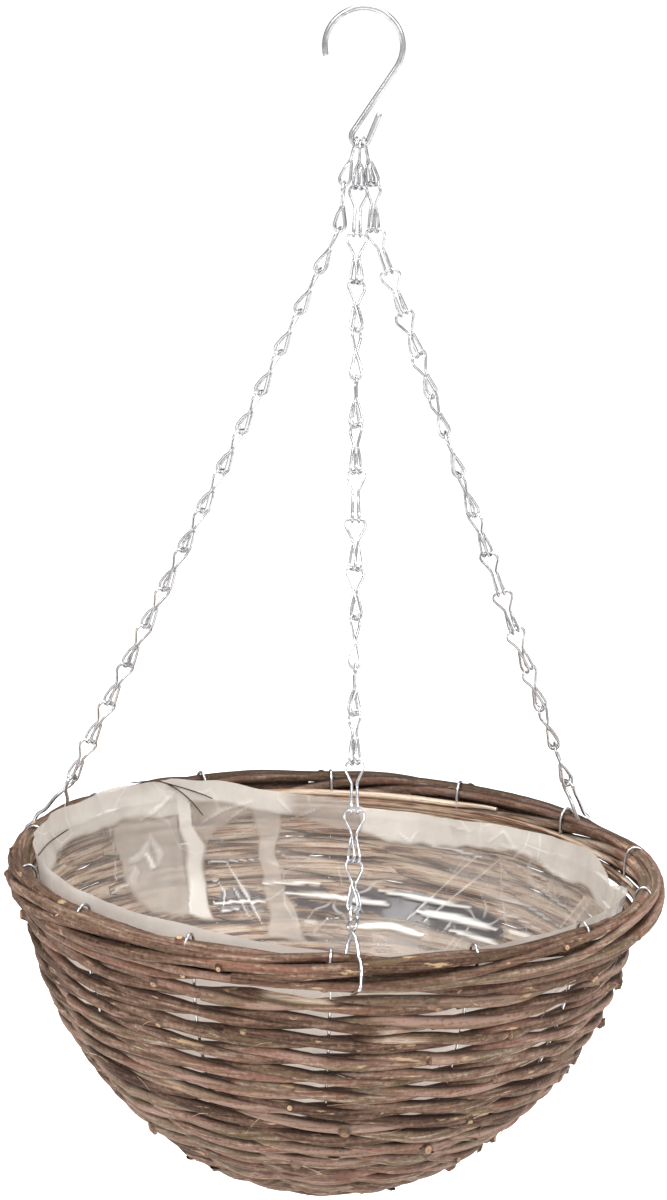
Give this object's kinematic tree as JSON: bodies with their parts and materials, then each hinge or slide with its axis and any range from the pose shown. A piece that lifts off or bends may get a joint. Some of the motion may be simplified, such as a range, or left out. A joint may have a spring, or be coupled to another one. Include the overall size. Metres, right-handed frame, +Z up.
{
  "type": "hanging wicker basket",
  "caption": "Round-bottomed hanging basket of split rods on wire ribs, film lined, hung from an S hook by three chains of bent wire links.",
  "frame": {"origin": "where the S hook's crook rests on what it is hung from: the inside of the crook at its top", "axes": "+Z up; -Y towards the front chain; the S hook lies in the X-Z plane with its crook open towards -X"},
  "size_m": [0.3448, 0.3584, 0.6354],
  "materials": {
    "zinc": "galvanised wire, satin",
    "rod": "split willow with its bark on",
    "film": "thin milky plastic film"
  },
  "bodies": {
    "hook": {"s_hook": "zinc"},
    "top_links": {"front_top_link": "zinc", "left_top_link": "zinc", "right_top_link": "zinc"},
    "basket": {"front_second_link": "zinc", "left_second_link": "zinc", "right_second_link": "zinc", "rim_rod_1": "rod", "rim_rod_2": "rod", "rim_rod_3": "rod", "course_01": "rod", "course_02": "rod", "course_03": "rod", "course_04": "rod", "course_05": "rod", "course_06": "rod", "course_07": "rod", "course_08": "rod", "course_09": "rod", "course_10": "rod", "course_11": "rod", "course_12": "rod", "course_13": "rod", "course_14": "rod", "course_15": "rod", "course_16": "rod", "course_17": "rod", "course_18": "rod", "rib_wire_01": "zinc", "rib_wire_02": "zinc", "rib_wire_03": "zinc", "rib_wire_04": "zinc", "rib_wire_05": "zinc", "rib_wire_06": "zinc", "rib_wire_07": "zinc", "rib_wire_08": "zinc", "rib_wire_09": "zinc", "rib_wire_10": "zinc", "rib_wire_11": "zinc", "rib_wire_12": "zinc", "rib_wire_13": "zinc", "rib_wire_14": "zinc", "base_ring": "zinc", "liner": "film"},
    "front_upper": {"front_chain_upper": "zinc"},
    "front_middle": {"front_chain_middle": "zinc"},
    "front_lower": {"front_chain_lower": "zinc"},
    "front_hook": {"front_rim_hook": "zinc"},
    "left_upper": {"left_chain_upper": "zinc"},
    "left_middle": {"left_chain_middle": "zinc"},
    "left_lower": {"left_chain_lower": "zinc"},
    "left_hook": {"left_rim_hook": "zinc"},
    "right_upper": {"right_chain_upper": "zinc"},
    "right_middle": {"right_chain_middle": "zinc"},
    "right_lower": {"right_chain_lower": "zinc"},
    "right_hook": {"right_rim_hook": "zinc"}
  },
  "joints": [
    {"name": "swing_sideways", "type": "hinge", "parent": "hook", "child": "top_links", "pos_m": [0, 0, -0.0675], "axis": [0, 1, 0], "range_deg": [-12, 12]},
    {"name": "swing_fore_aft", "type": "hinge", "parent": "top_links", "child": "basket", "pos_m": [0, 0, -0.09004], "axis": [1, 0, 0], "range_deg": [-12, 12]},
    {"name": "front_upper_links", "type": "hinge", "parent": "basket", "child": "front_upper", "pos_m": [0.00012, -0.00167, -0.11584], "axis": [-0.9973, -0.0732, 0], "range_deg": [0, 45]},
    {"name": "front_middle_links", "type": "hinge", "parent": "front_upper", "child": "front_middle", "pos_m": [0.00417, -0.05682, -0.22867], "axis": [-0.9973, -0.0732, 0], "range_deg": [0, 75]},
    {"name": "front_lower_links", "type": "hinge", "parent": "front_middle", "child": "front_lower", "pos_m": [0.00822, -0.11198, -0.34149], "axis": [-0.9973, -0.0732, 0], "range_deg": [0, 75]},
    {"name": "front_unhooks", "type": "hinge", "parent": "front_lower", "child": "front_hook", "pos_m": [0.01145, -0.15586, -0.43124], "axis": [-0.9973, -0.0732, 0], "range_deg": [0, 60]},
    {"name": "left_upper_links", "type": "hinge", "parent": "basket", "child": "left_upper", "pos_m": [-0.00898, 0.00071, -0.11374], "axis": [0.4438, 0.8961, 0], "range_deg": [0, 45]},
    {"name": "left_middle_links", "type": "hinge", "parent": "left_upper", "child": "left_middle", "pos_m": [-0.05653, 0.02426, -0.22763], "axis": [0.4438, 0.8961, 0], "range_deg": [0, 75]},
    {"name": "left_lower_links", "type": "hinge", "parent": "left_middle", "child": "left_lower", "pos_m": [-0.10408, 0.04781, -0.34153], "axis": [0.4438, 0.8961, 0], "range_deg": [0, 75]},
    {"name": "left_unhooks", "type": "hinge", "parent": "left_lower", "child": "left_hook", "pos_m": [-0.14191, 0.06654, -0.43213], "axis": [0.4438, 0.8961, 0], "range_deg": [0, 60]},
    {"name": "right_upper_links", "type": "hinge", "parent": "basket", "child": "right_upper", "pos_m": [0.00881, 0.00099, -0.11374], "axis": [0.6155, -0.7881, 0], "range_deg": [0, 45]},
    {"name": "right_middle_links", "type": "hinge", "parent": "right_upper", "child": "right_middle", "pos_m": [0.05083, 0.03381, -0.22751], "axis": [0.6155, -0.7881, 0], "range_deg": [0, 75]},
    {"name": "right_lower_links", "type": "hinge", "parent": "right_middle", "child": "right_lower", "pos_m": [0.09286, 0.06663, -0.34128], "axis": [0.6155, -0.7881, 0], "range_deg": [0, 75]},
    {"name": "right_unhooks", "type": "hinge", "parent": "right_lower", "child": "right_hook", "pos_m": [0.12629, 0.09274, -0.43179], "axis": [0.6155, -0.7881, 0], "range_deg": [0, 60]}
  ]
}
